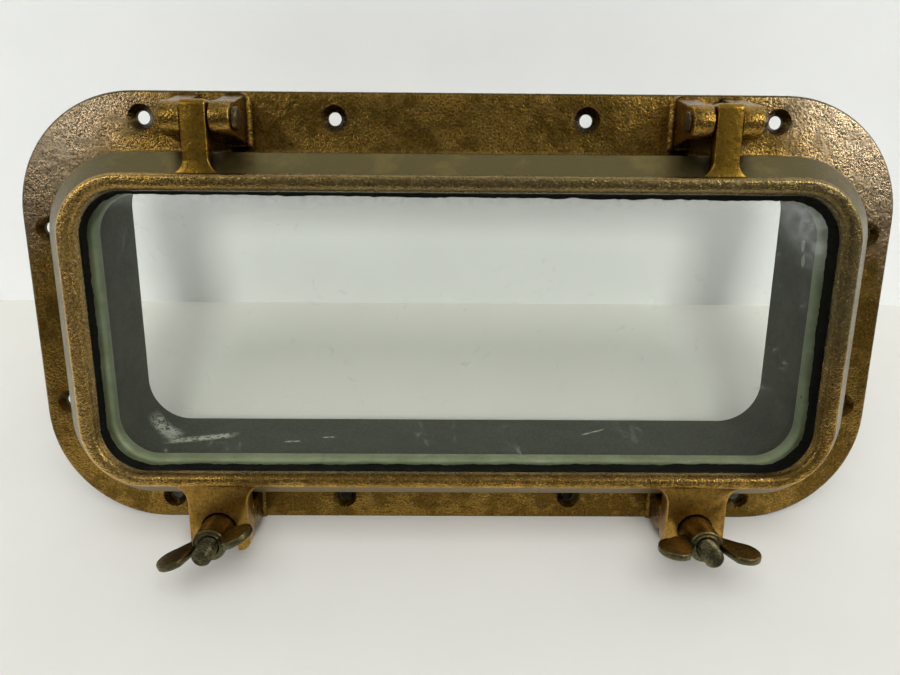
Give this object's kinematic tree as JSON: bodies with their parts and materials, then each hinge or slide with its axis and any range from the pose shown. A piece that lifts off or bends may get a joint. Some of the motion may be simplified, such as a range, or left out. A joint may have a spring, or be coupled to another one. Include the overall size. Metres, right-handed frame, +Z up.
{
  "type": "opening porthole",
  "caption": "Cast-bronze opening porthole: a flanged frame with a trunk, a glazed door hinged along its top edge, and swing bolts with wing nuts that clamp it shut.",
  "frame": {"origin": "middle of the flange on its mounting face, which is the plane y = 0", "axes": "+X right as seen from the cabin, +Z up, +Y out through the boat's side; the door opens toward -Y"},
  "size_m": [0.384, 0.1122, 0.199],
  "materials": {
    "frame_bronze": "cast bronze with a brown patina",
    "door_bronze": "cast bronze, rubbed bright on its edges",
    "dark_bronze": "dark green-brown patina",
    "ring_bronze": "dull bronze with verdigris",
    "gasket_rubber": "matt black rubber",
    "sealant": "black glazing sealant",
    "glass": "clear plate glass"
  },
  "bodies": {
    "frame": {"main_frame": "frame_bronze", "main_gasket": "gasket_rubber", "hinge_pin_left": "dark_bronze", "hinge_pin_right": "dark_bronze", "bolt_pin_left": "dark_bronze", "bolt_pin_right": "dark_bronze"},
    "door": {"door_frame": "door_bronze", "glass_pane": "glass", "glass_sealant": "sealant", "glass_retaining_ring": "ring_bronze", "ring_screw_01": "ring_bronze", "ring_screw_02": "ring_bronze", "ring_screw_03": "ring_bronze", "ring_screw_04": "ring_bronze", "ring_screw_05": "ring_bronze", "ring_screw_06": "ring_bronze", "ring_screw_07": "ring_bronze", "ring_screw_08": "ring_bronze", "ring_screw_09": "ring_bronze", "ring_screw_10": "ring_bronze"},
    "bolt_left": {"swing_bolt_left": "dark_bronze"},
    "bolt_right": {"swing_bolt_right": "dark_bronze"},
    "nut_left": {"wing_nut_left": "dark_bronze"},
    "nut_right": {"wing_nut_right": "dark_bronze"}
  },
  "joints": [
    {"name": "door_hinge", "type": "hinge", "parent": "frame", "child": "door", "pos_m": [0, -0.0242, 0.0855], "axis": [-1, 0, 0], "range_deg": [0, 180]},
    {"name": "bolt_left_swing", "type": "hinge", "parent": "frame", "child": "bolt_left", "pos_m": [-0.1062, -0.014, -0.09], "axis": [1, 0, 0], "range_deg": [0, 90]},
    {"name": "bolt_right_swing", "type": "hinge", "parent": "frame", "child": "bolt_right", "pos_m": [0.1062, -0.014, -0.09], "axis": [1, 0, 0], "range_deg": [0, 90]},
    {"name": "nut_left_spin", "type": "hinge", "parent": "bolt_left", "child": "nut_left", "pos_m": [-0.1062, -0.045, -0.09], "axis": [0, -1, 0], "continuous": true},
    {"name": "nut_right_spin", "type": "hinge", "parent": "bolt_right", "child": "nut_right", "pos_m": [0.1062, -0.045, -0.09], "axis": [0, -1, 0], "continuous": true}
  ]
}
